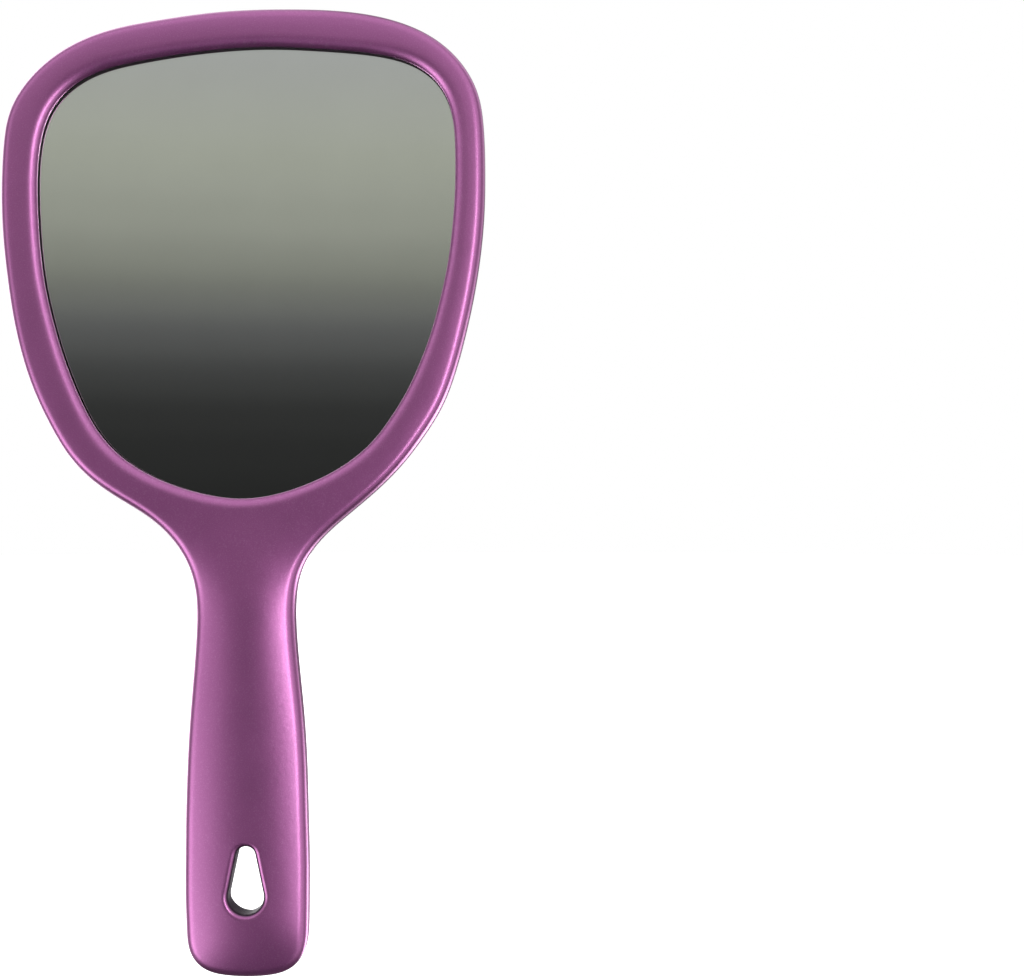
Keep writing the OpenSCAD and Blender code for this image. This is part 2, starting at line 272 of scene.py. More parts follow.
def sample(f, pts):
    """Bicubic, so that the surface's slope has no steps."""
    u = (pts[:, 0] - X0) / GRID
    v = (pts[:, 1] - Z0) / GRID
    i, j = np.floor(u).astype(int), np.floor(v).astype(int)
    fu, fv = u - i, v - j

    def w(t):
        return [((-t + 2) * t - 1) * t / 2, ((3 * t - 5) * t * t + 2) / 2, ((-3 * t + 4) * t + 1) * t / 2, (t - 1) * t * t / 2]

    wu, wv = w(fu), w(fv)
    out = np.zeros(len(pts))
    for a in range(4):
        for b in range(4):
            out += wu[a] * wv[b] * f[np.clip(i + a - 1, 0, NX - 1), np.clip(j + b - 1, 0, NZ - 1)]
    return out


def quarter(d, m, depth):
    """How far a rounded mouth of width m and that depth drops at distance d from its hole."""
    t = np.clip(1 - d / m, 0, 1)
    return depth * (1 - np.sqrt(np.maximum(1 - t * t, 0)))


def front_height(p, d=None, o=None, h=None):
    d = in_outline(p) if d is None else d
    o = -in_opening(p) if o is None else o
    h = -in_hole(p) if h is None else h
    y = FRONT_SIDE + (FRONT_DEPTH - FRONT_SIDE - GRIP_DROP * (1 - sample(head_share, p))) * edge(d / FRONT_ROUND) + np.maximum(sample(crown_front, p), 0)
    band = np.clip(d / (d + np.maximum(o, 0) + 1e-6), 0, 1)
    y += 0.22 * np.sin(math.pi * band) ** 2 * on_band(p)
    y -= quarter(o, FLARE, FLARE_DEPTH)
    y -= quarter(h, 1.7, 1.7)
    return y


def on_band(p):
    return ease((p[:, 1] - 78) / 24)


def back_height(p, d=None, u=None, l=None, h=None):
    d = in_outline(p) if d is None else d
    u = np.linalg.norm(p - UPPER, axis=1) - UPPER_R - WELL_GAP if u is None else u
    l = np.linalg.norm(p - LOWER, axis=1) - LOWER_R - WELL_GAP if l is None else l
    h = -in_hole(p) - HOLE_STEP if h is None else h
    y = BACK_SIDE + (BACK_EDGE - BACK_SIDE) * edge(d / BACK_ROUND) + np.maximum(sample(crown_back, p), 0)
    y -= quarter(u, WELL_MOUTH, WELL_MOUTH)
    y -= quarter(l, WELL_MOUTH, WELL_MOUTH)
    y -= quarter(h, 1.2, 1.2)
    return y


# ---------------------------------------------------------------- meshes
class Builder:
    """Collects points and triangles in mm, [x, y, z]."""

    def __init__(self):
        self.v, self.f, self.n = [], [], 0

    def add(self, pts):
        self.v.append(np.asarray(pts, float))
        self.n += len(pts)
        return np.arange(self.n - len(pts), self.n)

    def ring(self, p, y):
        p = np.asarray(p)
        y = np.broadcast_to(y, (len(p),))
        return self.add(np.column_stack([p[:, 0], y, p[:, 1]]))

    def bridge(self, a, b, flip=False):
        """Quads from ring a to ring b of as many points."""
        n = len(a)
        for i in range(n):
            j = (i + 1) % n
            q = (a[i], a[j], b[j], b[i])
            self.f.append(q[::-1] if flip else q)

    def walls(self, rings, flip=False):
        for a, b in zip(rings, rings[1:]):
            self.bridge(a, b, flip)

    def mesh(self, name):
        v = np.vstack(self.v) * 0.001
        m = bpy.data.meshes.new(name)
        m.from_pydata([tuple(x) for x in v], [], [tuple(int(i) for i in f) for f in self.f])
        m.validate()
        m.update()
        return m


def sheet(b, loops, keep, height, grid, rings, flip):
    """A height field over a region, triangulated: loops are its borders, rings are the offset curves it follows, and grid is the spacing of the rest.
    Returns the point indices of each border."""
    pts, edges, at = [], [], []
    for loop in loops:
        start = len(pts)
        at.append(np.arange(start, start + len(loop)))
        pts += [tuple(q) for q in loop]
        edges += [(start + i, start + (i + 1) % len(loop)) for i in range(len(loop))]
    borders = len(pts)
    for loop in rings:
        start = len(pts)
        pts += [tuple(q) for q in loop]
        edges += [(start + i, start + (i + 1) % len(loop)) for i in range(len(loop))]
    tree = kdtree.KDTree(len(pts))
    for i, q in enumerate(pts):
        tree.insert((q[0], q[1], 0), i)
    tree.balance()
    lo, hi = np.min(pts, 0), np.max(pts, 0)
    inner = []
    rows = int((hi[1] - lo[1]) / (grid * 0.866)) + 1
    for r in range(rows):
        z = lo[1] + r * grid * 0.866
        x = lo[0] + (grid / 2 if r % 2 else 0)
        while x < hi[0]:
            if tree.find((x, z, 0))[2] > grid * 0.62:
                inner.append((x, z))
            x += grid
    inner = np.array(inner)
    inner = inner[keep(inner)]
    pts += [tuple(q) for q in inner]
    got = delaunay_2d_cdt([Vector(p) for p in pts], edges, [], 0, 1e-7, True)
    verts = np.array([(p.x, p.y) for p in got[0]])
    tris = np.array([t for t in got[2]])
    old = got[3]
    new_of = {}
    for i, o in enumerate(old):
        for k in o:
            new_of[k] = i
    mid = verts[tris].mean(1)
    tris = tris[keep(mid)]
    y = height(verts)
    idx = b.add(np.column_stack([verts[:, 0], y, verts[:, 1]]))
    ab = verts[tris[:, 1]] - verts[tris[:, 0]]
    ac = verts[tris[:, 2]] - verts[tris[:, 0]]
    ccw = ab[:, 0] * ac[:, 1] - ab[:, 1] * ac[:, 0] > 0
    for t, c in zip(tris, ccw):
        t = t if c != flip else t[::-1]
        b.f.append(tuple(int(idx[k]) for k in t))
    return [np.array([idx[new_of[k]] for k in a]) for a in at]


EDGE_D = [0.015, 0.05, 0.12, 0.23, 0.4, 0.62, 0.9, 1.25, 1.65, 2.1, 2.6, 3.2, 4.2, 5.4]
MOUTH = [1 - math.cos(math.radians(a)) for a in (10, 20, 31, 42, 53, 64, 77, 90)]
SEAM = 0.12  # half of the fine groove where the shells meet


def front_mesh():
    b = Builder()
    hole0, open0 = teardrop(0), opening

    def keep(p):
        return (in_outline(p) > 0) & (in_opening(p) < 0) & (in_hole(p) < 0)

    rings = [inset(outline, d) for d in EDGE_D]
    rings += [inset(opening, -FLARE * m) for m in MOUTH] + [inset(opening, -FLARE - 1.0)]
    rings += [teardrop(1.7 * m) for m in MOUTH] + [teardrop(2.3)]
    out, op, ho = sheet(b, [outline, open0, hole0], keep, lambda p: -front_height(p), 2.2, rings, False)
    # the side down to the seam, with its fine groove
    side = [out] + [b.ring(outline, y) for y in (-1.9, -1.2, -0.5, -0.2)]
    seam = b.ring(inset(outline, SEAM), 0)
    inner = [b.ring(inset(outline, WALL), y) for y in (0, -0.7)]
    b.walls(side + [seam, *inner], True)

    # inside
    cavity = inset(outline, WALL)
    tube = teardrop(1.6)

    def keep_in(p):
        return (in_outline(p) > WALL) & (in_opening(p) < 0) & (in_hole(p) < -1.6)

    def inside(p):
        d = in_outline(p)
        return -(0.7 + (FRONT_DEPTH - WALL - 0.7 - GRIP_DROP * (1 - sample(head_share, p))) * edge((d - WALL) / 1.4) + np.maximum(sample(crown_front, p), 0))

    c_out, c_op, c_ho = sheet(b, [cavity, open0, tube], keep_in, inside, 3.4, [inset(outline, WALL + d) for d in (0.1, 0.3, 0.7, 1.4, 3.0)], True)
    b.bridge(inner[-1], c_out, True)
    b.walls([op, b.ring(open0, GLASS_Y - 0.1), c_op])
    # the tube round the hanging hole
    mouth = [ho] + [b.ring(hole0, y) for y in (-4.2, -3.0, -1.6, -0.2)] + [b.ring(hole0, 0)]
    b.walls(mouth)
    end = b.ring(tube, 0)
    b.bridge(mouth[-1], end)
    b.walls([end, b.ring(tube, -2.0), c_ho])
    return b


def back_mesh():
    b = Builder()
    n_up, n_lo = 220, 208
    up0, lo0 = circle(UPPER, UPPER_R + WELL_GAP, n_up), circle(LOWER, LOWER_R + WELL_GAP, n_lo)
    hole0 = teardrop(HOLE_STEP)

    def keep(p):
        return (
            (in_outline(p) > 0)
            & (np.linalg.norm(p - UPPER, axis=1) > UPPER_R + WELL_GAP)
            & (np.linalg.norm(p - LOWER, axis=1) > LOWER_R + WELL_GAP)
            & (in_hole(p) < -HOLE_STEP)
        )

    rings = [inset(outline, d) for d in EDGE_D]
    for c, r, n in ((UPPER, UPPER_R + WELL_GAP, n_up), (LOWER, LOWER_R + WELL_GAP, n_lo)):
        rings += [circle(c, r + WELL_MOUTH * m, n) for m in MOUTH] + [circle(c, r + WELL_MOUTH + 0.9, n)]
    rings += [teardrop(HOLE_STEP + 1.2 * m) for m in MOUTH] + [teardrop(HOLE_STEP + 1.7)]
    out, up, low, ho = sheet(b, [outline, up0, lo0, hole0], keep, back_height, 2.2, rings, True)
    side = [out] + [b.ring(outline, y) for y in (1.2, 0.7, 0.2)]
    seam = b.ring(inset(outline, SEAM), 0)
    t_out = inset(outline, WALL + PLAY)
    t_in = inset(outline, WALL + PLAY + 1)
    tongue = [b.ring(t_out, 0), b.ring(t_out, -TONGUE + 0.2), b.ring(inset(outline, WALL + PLAY + 0.2), -TONGUE),
              b.ring(inset(outline, WALL + PLAY + 0.8), -TONGUE), b.ring(t_in, -TONGUE + 0.2), b.ring(t_in, 0.3)]
    b.walls(side + [seam, *tongue])

    # inside, with the two cups
    cup_u, cup_l = circle(UPPER, UPPER_R + WELL_GAP + 1.6, n_up), circle(LOWER, LOWER_R + WELL_GAP + 1.6, n_lo)
    tube = teardrop(HOLE_STEP + 1.6)
    posts = [circle(p, 5.0, 64) for p in POSTS]

    def keep_in(p):
        ok = (in_outline(p) > WALL + PLAY + 1) & (in_hole(p) < -HOLE_STEP - 1.6)
        ok &= np.linalg.norm(p - UPPER, axis=1) > UPPER_R + WELL_GAP + 1.6
        ok &= np.linalg.norm(p - LOWER, axis=1) > LOWER_R + WELL_GAP + 1.6
        for q in POSTS:
            ok &= np.linalg.norm(p - q, axis=1) > 5.0
        return ok

    def inside(p):
        d = in_outline(p)
        return 0.3 + (BACK_EDGE - WALL - 0.3) * edge((d - 3.3) / 0.9) + np.maximum(sample(crown_back, p), 0)

    got = sheet(b, [t_in, cup_u, cup_l, tube, *posts], keep_in, inside, 3.4, [inset(outline, 3.3 + d) for d in (0.06, 0.2, 0.45, 0.9, 2.5)], False)
    b.bridge(tongue[-1], got[0])

    def disc(loop, y, centre, flip, steps=10):
        """Closes a loop with rings that shrink to its middle."""
        last = b.ring(loop, y)
        first = last
        for k in range(1, steps):
            nxt = b.ring(centre + (loop - centre) * (1 - k / steps), y)
            b.bridge(last, nxt, flip)
            last = nxt
        mid = int(b.add([[centre[0], y, centre[1]]])[0])
        for i in range(len(loop)):
            t = (last[i], last[(i + 1) % len(loop)], mid)
            b.f.append(t[::-1] if flip else t)
        return first

    for loop, inner, cup, c in ((up0, up, cup_u, UPPER), (lo0, low, cup_l, LOWER)):
        floor = disc(loop, WELL_FLOOR, c, True)
        b.walls([inner, b.ring(loop, 3.6), b.ring(loop, 2.2), floor], True)
    for k, (cup, c) in enumerate(((cup_u, UPPER), (cup_l, LOWER), (posts[0], POSTS[0]), (posts[1], POSTS[1]))):
        under = disc(cup, PAD_BACK, c, False)
        b.bridge(got[1 + k if k < 2 else 2 + k], under, False)
    wall = [ho] + [b.ring(hole0, y) for y in (4.4, 3.0, 1.4, 0)]
    b.walls(wall, True)
    end = b.ring(tube, 0)
    b.bridge(wall[-1], end, True)
    b.bridge(end, got[3], True)
    return b


def plate(loop, centre, y0, y1, bevel):
    """A flat plate with ground edges. Returns the builder and its flat triangles' count."""
    b = Builder()
    small = centre + (loop - centre) * 0.5
    face0, face1 = inset(loop, bevel), inset(loop, bevel)
    m0 = int(b.add([[centre[0], y0, centre[1]]])[0])
    r0 = b.ring(small, y0)
    r1 = b.ring(face0, y0)
    r2 = b.ring(loop, y0 + bevel * 0.8)
    r3 = b.ring(loop, y1 - bevel * 0.8)
    r4 = b.ring(face1, y1)
    r5 = b.ring(small, y1)
    m1 = int(b.add([[centre[0], y1, centre[1]]])[0])
    n = len(loop)
    for i in range(n):
        j = (i + 1) % n
        b.f.append((r0[i], r0[j], m0))
    b.walls([r0, r1], True)
    flat0 = len(b.f)
    b.walls([r1, r2, r3, r4], True)
    edge1 = len(b.f)
    b.walls([r4, r5], True)
    for i in range(n):
        j = (i + 1) % n
        b.f.append((r5[j], r5[i], m1))
    return b, range(flat0, edge1)


def lathe(centre, profile, n):
    """Turns a closed profile of [radius, y] round an axis along Y. It starts and ends on the axis, low y first."""
    b = Builder()
    first = int(b.add([[centre[0], profile[0][1], centre[1]]])[0])
    rings = [b.ring(circle(centre, r, n), y) for r, y in profile[1:-1]]
    last = int(b.add([[centre[0], profile[-1][1], centre[1]]])[0])
    for i in range(n):
        b.f.append((rings[0][i], rings[0][(i + 1) % n], first))
    b.walls(rings, True)
    for i in range(n):
        b.f.append((rings[-1][(i + 1) % n], rings[-1][i], last))
    return b


def disc_profile(r, y0, y1, curve, bevel, steps=14):
    """A disc bent like a shallow bowl that opens towards +Y."""
    sag = lambda x: x * x / (2 * curve)
    xs = [r * k / steps for k in range(steps)]
    low = [(x, y0 + sag(x)) for x in xs] + [(r - bevel, y0 + sag(r - bevel))]
    rim = [(r - bevel * 0.3, y0 + sag(r) + bevel * 0.3), (r, y0 + sag(r) + bevel), (r, y1 + sag(r) - bevel), (r - bevel * 0.3, y1 + sag(r) - bevel * 0.3)]
    high = [(r - bevel, y1 + sag(r - bevel))] + [(x, y1 + sag(x)) for x in xs[::-1]]
    return low + rim + high


# ---------------------------------------------------------------- materials
def material(name):
    m = bpy.data.materials.new(name)
    m.use_nodes = True
    nt = m.node_tree
    return m, nt, nt.nodes["Principled BSDF"]


def node(nt, kind, **values):
    n = nt.nodes.new(kind)
    for k, v in values.items():
        if hasattr(n, k) and k not in n.inputs:
            setattr(n, k, v)
        else:
            n.inputs[k].default_value = v
    return n


def mix(nt, a, b, factor):
    """A colour mix of two sockets or colours."""
    n = nt.nodes.new("ShaderNodeMix")
    n.data_type = "RGBA"
    for i, x in ((6, a), (7, b)):
        if hasattr(x, "links"):
            nt.links.new(x, n.inputs[i])
        else:
            n.inputs[i].default_value = x
    if hasattr(factor, "links"):
        nt.links.new(factor, n.inputs[0])
    else:
        n.inputs[0].default_value = factor
    return n.outputs[2]


def spread(nt, source, a, b, c, d):
    n = node(nt, "ShaderNodeMapRange")
    n.inputs["From Min"].default_value, n.inputs["From Max"].default_value = a, b
    n.inputs["To Min"].default_value, n.inputs["To Max"].default_value = c, d
    nt.links.new(source, n.inputs["Value"])
    return n.outputs["Result"]


def noise(nt, coords, scale, detail=2.0, rough=0.5):
    n = node(nt, "ShaderNodeTexNoise")
    n.inputs["Scale"].default_value = scale
    n.inputs["Detail"].default_value = detail
    n.inputs["Roughness"].default_value = rough
    nt.links.new(coords, n.inputs["Vector"])
    return n.outputs["Fac"]


def paint(name, base, deep, flake, rough):
    """Sprayed metallic lacquer over moulded plastic: flakes, a faint orange peel, thin paint on the arrises and a few
    rub marks, and painted shade that darkens the hanging hole's wall.
    """
    m, nt, p = material(name)
    co = nt.nodes.new("ShaderNodeTexCoord").outputs["Object"]
    cloud = noise(nt, co, 26, 3)
    grain = noise(nt, co, 2600, 2, 0.7)
    sparkle = node(nt, "ShaderNodeTexVoronoi")
    sparkle.inputs["Scale"].default_value = 3600
    nt.links.new(co, sparkle.inputs["Vector"])
    glint = spread(nt, sparkle.outputs["Distance"], 0.12, 0.34, 1, 0)
    tone = mix(nt, base, deep, spread(nt, cloud, 0.35, 0.65, 0.15, 0.32))
    tone = mix(nt, tone, flake, spread(nt, grain, 0.52, 0.72, 0.0, 0.34))
    g = node(nt, "ShaderNodeMath", operation="MULTIPLY")
    nt.links.new(glint, g.inputs[0])
    g.inputs[1].default_value = 0.22
    tone = mix(nt, tone, flake, g.outputs[0])
    wear = node(nt, "ShaderNodeAttribute", attribute_name="wear").outputs["Fac"]
    chip = spread(nt, noise(nt, co, 520, 4, 0.65), 0.5, 0.62, 0, 1)
    w = node(nt, "ShaderNodeMath", operation="MULTIPLY")
    nt.links.new(wear, w.inputs[0])
    nt.links.new(chip, w.inputs[1])
    w2 = node(nt, "ShaderNodeMath", operation="MULTIPLY")
    nt.links.new(w.outputs[0], w2.inputs[0])
    w2.inputs[1].default_value = 0.16
    tone = mix(nt, tone, (flake[0] * 1.05, flake[1] * 1.15, flake[2] * 1.05, 1), w2.outputs[0])
    # painted shade: the hanging hole's wall is darkened to near black, standing in for the shade deep in the hole
    hole_shade = node(nt, "ShaderNodeAttribute", attribute_name="hole_shade").outputs["Fac"]
    tone = mix(nt, tone, (0.05, 0.024, 0.05, 1), hole_shade)
    nt.links.new(tone, p.inputs["Base Color"])
    p.inputs["Metallic"].default_value = 0.82
    p.inputs["Coat Weight"].default_value = 0.7
    p.inputs["Coat Roughness"].default_value = 0.27
    p.inputs["Coat IOR"].default_value = 1.55
    # rub marks only change the roughness
    rub = noise(nt, co, 95, 5, 0.6)
    r = spread(nt, rub, 0.3, 0.72, rough - 0.012, rough + 0.02)
    nt.links.new(r, p.inputs["Roughness"])
    peel = noise(nt, co, 620, 2)
    bump = node(nt, "ShaderNodeBump")
    bump.inputs["Strength"].default_value = 0.055
    bump.inputs["Distance"].default_value = 0.0004
    fine = node(nt, "ShaderNodeMath", operation="ADD")
    nt.links.new(peel, fine.inputs[0])
    fg = node(nt, "ShaderNodeMath", operation="MULTIPLY")
    nt.links.new(grain, fg.inputs[0])
    fg.inputs[1].default_value = 0.22
    nt.links.new(fg.outputs[0], fine.inputs[1])
    nt.links.new(fine.outputs[0], bump.inputs["Height"])
    nt.links.new(bump.outputs["Normal"], p.inputs["Normal"])
    return m


def hole_shade_plastic():
    """The wall of the hanging hole: near-black plastic with a little overspray, which paints in the shade inside the
    hole.
    """
    m, nt, p = material("hole_shade_plastic")
    co = nt.nodes.new("ShaderNodeTexCoord").outputs["Object"]
    spray = spread(nt, noise(nt, co, 900, 4, 0.7), 0.45, 0.75, 0, 0.6)
    nt.links.new(mix(nt, (0.035, 0.02, 0.036, 1), (0.12, 0.045, 0.105, 1), spray), p.inputs["Base Color"])
    nt.links.new(spread(nt, noise(nt, co, 300, 3), 0.3, 0.7, 0.5, 0.62), p.inputs["Roughness"])
    p.inputs["Metallic"].default_value = 0.35
    bump = node(nt, "ShaderNodeBump")
    bump.inputs["Strength"].default_value = 0.1
    bump.inputs["Distance"].default_value = 0.0003
    nt.links.new(noise(nt, co, 1400, 3), bump.inputs["Height"])
    nt.links.new(bump.outputs["Normal"], p.inputs["Normal"])
    return m


def glass(name, tint, rough):
    m, nt, p = material(name)
    co = nt.nodes.new("ShaderNodeTexCoord").outputs["Object"]
    haze = spread(nt, noise(nt, co, 45, 4), 0.3, 0.75, 0, 1)
    nt.links.new(mix(nt, tint, tuple(x * 0.985 for x in tint[:3]) + (1,), haze), p.inputs["Base Color"])
    p.inputs["Transmission Weight"].default_value = 1.0
    p.inputs["Roughness"].default_value = rough
    p.inputs["IOR"].default_value = 1.52
    return m


def ground_edge():
    """The edge of cut glass: sea green and finely ground."""
    m, nt, p = material("ground_glass_edge")
    co = nt.nodes.new("ShaderNodeTexCoord").outputs["Object"]
    grit = noise(nt, co, 5200, 3, 0.7)
    nt.links.new(mix(nt, (0.42, 0.6, 0.53, 1), (0.62, 0.76, 0.7, 1), spread(nt, grit, 0.35, 0.65, 0, 1)), p.inputs["Base Color"])
    p.inputs["Roughness"].default_value = 0.42
    p.inputs["IOR"].default_value = 1.52
    bump = node(nt, "ShaderNodeBump")
    bump.inputs["Strength"].default_value = 0.3
    bump.inputs["Distance"].default_value = 0.0001
    nt.links.new(grit, bump.inputs["Height"])
    nt.links.new(bump.outputs["Normal"], p.inputs["Normal"])
    return m


def silver():
    m, nt, p = material("silvered_backing")
    co = nt.nodes.new("ShaderNodeTexCoord").outputs["Object"]
    spot = spread(nt, noise(nt, co, 180, 4, 0.6), 0.62, 0.74, 0, 1)
    nt.links.new(mix(nt, (0.93, 0.935, 0.93, 1), (0.915, 0.922, 0.915, 1), spot), p.inputs["Base Color"])
    p.inputs["Metallic"].default_value = 1.0
    p.inputs["Roughness"].default_value = 0.006
    return m


def back_paint():
    """The grey lacquer over a mirror's silver, and its cut edge."""
    m, nt, p = material("mirror_back_lacquer")
    co = nt.nodes.new("ShaderNodeTexCoord").outputs["Object"]
    n = noise(nt, co, 900, 4, 0.6)
    nt.links.new(mix(nt, (0.16, 0.165, 0.175, 1), (0.22, 0.225, 0.235, 1), spread(nt, n, 0.3, 0.7, 0, 1)), p.inputs["Base Color"])
    p.inputs["Roughness"].default_value = 0.55
    bump = node(nt, "ShaderNodeBump")
    bump.inputs["Strength"].default_value = 0.15
    bump.inputs["Distance"].default_value = 0.0002
    nt.links.new(n, bump.inputs["Height"])
    nt.links.new(bump.outputs["Normal"], p.inputs["Normal"])
    return m


def foam(name, base, pore, scale):
    """Open-cell foam: pores at their real size, about a third of a millimetre."""
    m, nt, p = material(name)
    co = nt.nodes.new("ShaderNodeTexCoord").outputs["Object"]
    cell = node(nt, "ShaderNodeTexVoronoi")
    cell.inputs["Scale"].default_value = scale
    nt.links.new(co, cell.inputs["Vector"])
    fac = spread(nt, cell.outputs["Distance"], 0.15, 0.5, 1, 0)
    tone = mix(nt, base, pore, fac)
    tone = mix(nt, tone, tuple(x * 0.8 for x in base[:3]) + (1,), spread(nt, noise(nt, co, 140, 3), 0.35, 0.7, 0, 0.6))
    nt.links.new(tone, p.inputs["Base Color"])
    p.inputs["Roughness"].default_value = 0.93
    p.inputs["Specular IOR Level"].default_value = 0.2
    bump = node(nt, "ShaderNodeBump")
    bump.inputs["Strength"].default_value = 0.7
    bump.inputs["Distance"].default_value = 0.0003
    nt.links.new(cell.outputs["Distance"], bump.inputs["Height"])
    nt.links.new(bump.outputs["Normal"], p.inputs["Normal"])
    return m


FRONT_PAINT = paint("purple_lacquer_front", (0.44, 0.124, 0.36, 1), (0.385, 0.102, 0.317, 1), (0.66, 0.29, 0.6, 1), 0.34)
BACK_PAINT = paint("purple_lacquer_back", (0.44, 0.124, 0.36, 1), (0.385, 0.102, 0.317, 1), (0.66, 0.29, 0.6, 1), 0.34)
# the near-black material on the hanging hole's wall is painted shade
HOLE_SHADE_MAT = hole_shade_plastic()
GLASS_MAT = glass("float_glass", (0.975, 0.99, 0.98, 1), 0.0)
EDGE_MAT = ground_edge()
SILVER_MAT = silver()
LACQUER = back_paint()
FOAM_PAD = foam("grey_foam", (0.17, 0.17, 0.175, 1), (0.05, 0.05, 0.052, 1), 3000)
FOAM_TAPE = foam("white_foam_tape", (0.78, 0.77, 0.74, 1), (0.52, 0.51, 0.48, 1), 3600)


# ---------------------------------------------------------------- pieces
def piece(name, b, cad_node, mats, sharp=30, second=()):
    mesh = b.mesh(name) if isinstance(b, Builder) else b
    for m in mats:
        mesh.materials.append(m)
    for i in second:
        mesh.polygons[i].material_index = 1
    mesh.shade_smooth()
    mesh.set_sharp_from_angle(angle=math.radians(sharp))
    o = bpy.data.objects.new(name, mesh)
    scene.collection.objects.link(o)
    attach(o, "root")
    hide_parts(cad_node)
    return o


def centre_of(n):
    lo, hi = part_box(n)
    return np.array([(lo.x + hi.x) * 500, (lo.z + hi.z) * 500])


def paint_wear_and_hole_shade(o, back):
    """How thin the lacquer has worn, point by point: most on the seam's arrises, the lips and the end of the grip. It
    also marks the hanging hole's wall, which is darkened as painted shade.
    """
    co = np.array([v.co for v in o.data.vertices]) * 1000
    p = co[:, [0, 2]]
    d = in_outline(p)
    near_seam = np.exp(-((d / 0.7) ** 2)) * np.exp(-((co[:, 1] / 1.2) ** 2))
    if back:
        lips = np.minimum(np.abs(np.linalg.norm(p - UPPER, axis=1) - UPPER_R - WELL_GAP), np.abs(np.linalg.norm(p - LOWER, axis=1) - LOWER_R - WELL_GAP))
        lip = np.exp(-(((lips - 0.9) / 0.6) ** 2)) * (co[:, 1] > 5)
    else:
        lip = np.exp(-(((-in_opening(p) - 1.0) / 0.7) ** 2)) * (co[:, 1] < -3)
    hole = np.exp(-(((-in_hole(p) - 0.9) / 0.7) ** 2))
    shoulder = np.exp(-(((d - 0.5) / 0.5) ** 2)) * 0.5
    end = ease((-p[:, 1] - 40) / 30) * 0.5
    w = np.clip(np.maximum.reduce([near_seam, lip * 0.8, hole * 0.8, shoulder * (0.5 + end)]), 0, 1)
    at = o.data.attributes.new("wear", "FLOAT", "POINT")
    at.data.foreach_set("value", w.astype(np.float32))
    # painted shade: points on the hanging hole's wall get a mask that darkens them, and faces wholly on it take the
    # near-black hole material
    wall = 0.55 + (HOLE_STEP if back else 0)
    hole_shade = np.clip((wall + in_hole(p)) / 0.6 + 0.5, 0, 1)
    at = o.data.attributes.new("hole_shade", "FLOAT", "POINT")
    at.data.foreach_set("value", hole_shade.astype(np.float32))
    me = o.data
    corner, start = np.empty(len(me.loops), np.int32), np.empty(len(me.polygons), np.int32)
    me.loops.foreach_get("vertex_index", corner)
    me.polygons.foreach_get("loop_start", start)
    least = np.minimum.reduce([hole_shade[corner[start + k]] for k in range(3)])
    me.polygons.foreach_set("material_index", (least > 0.98).astype(np.int32))


UPPER, LOWER = centre_of("upper_round_glass"), centre_of("lower_round_glass")
POSTS = [centre_of("foam_pad_left_post"), centre_of("foam_pad_right_post")]

# each shell's second slot is the near-black hole material, painted shade on the hole's wall
shell_front = piece("front_frame_shell", front_mesh(), "front_frame", [FRONT_PAINT, HOLE_SHADE_MAT])
shell_back = piece("back_cover_shell", back_mesh(), "back_cover", [BACK_PAINT, HOLE_SHADE_MAT])
paint_wear_and_hole_shade(shell_front, False)
paint_wear_and_hole_shade(shell_back, True)

GAP = 0.02  # air between glass and silver, too thin to see
mid_open = np.array([0.0, 160.0])
b, rim = plate(inset(opening, -LIP), mid_open, GLASS_Y, GLASS_BACK - GAP, 0.3)
piece("main_mirror_plate", b, "main_mirror_glass", [GLASS_MAT, EDGE_MAT], 20, rim)
b, rim = plate(inset(opening, -LIP + 0.3), mid_open, GLASS_BACK, SILVER_BACK, 0.04)
back_faces = list(rim) + [i for i in range(max(rim) + 1, len(b.f))]
piece("main_mirror_silver", b, "main_mirror_backing", [SILVER_MAT, LACQUER], 20, back_faces)

for name, c, r, curve in (("upper_round", UPPER, UPPER_R, UPPER_CURVE), ("lower_round", LOWER, LOWER_R, LOWER_CURVE)):
    n = 256
    y = WELL_FLOOR + TAPE
    prof = disc_profile(r, y + SILVER + GAP, y + SILVER + ROUND_GLASS, curve, 0.35)
    b = lathe(c, prof, n)
    lows = n + n * 14  # the faces under the disc
    piece(name + "_mirror_plate", b, name + "_glass", [GLASS_MAT, EDGE_MAT], 25, range(lows, lows + n * 4))
    prof = disc_profile(r - 0.15, y, y + SILVER, curve, 0.04)
    b = lathe(c, prof, n)
    piece(name + "_mirror_silver", b, name + "_backing", [SILVER_MAT, LACQUER], 25, range(0, lows + n * 4))
    rt = r - (1.0 if name == "upper_round" else 1.0)
    lo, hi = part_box(name + "_foam_tape")
    rt = (hi.x - lo.x) * 500
    sag = lambda x: x * x / (2 * curve)
    xs = [rt * k / 12 for k in range(13)]
    top = [(x, y + sag(x)) for x in xs]
    prof = [(0, WELL_FLOOR)] + [(x, WELL_FLOOR) for x in xs[1:-1]] + [(rt - 0.12, WELL_FLOOR)]
    prof += [(rt - 0.02, WELL_FLOOR + 0.1), (rt - 0.06, WELL_FLOOR + 0.3), (rt - 0.02, y + sag(rt) - 0.1), (rt - 0.12, y + sag(rt - 0.12))]
    prof += top[-2::-1]
    t = piece(name + "_tape_pad", lathe(c, prof, 160), name + "_foam_tape", [FOAM_TAPE], 40)

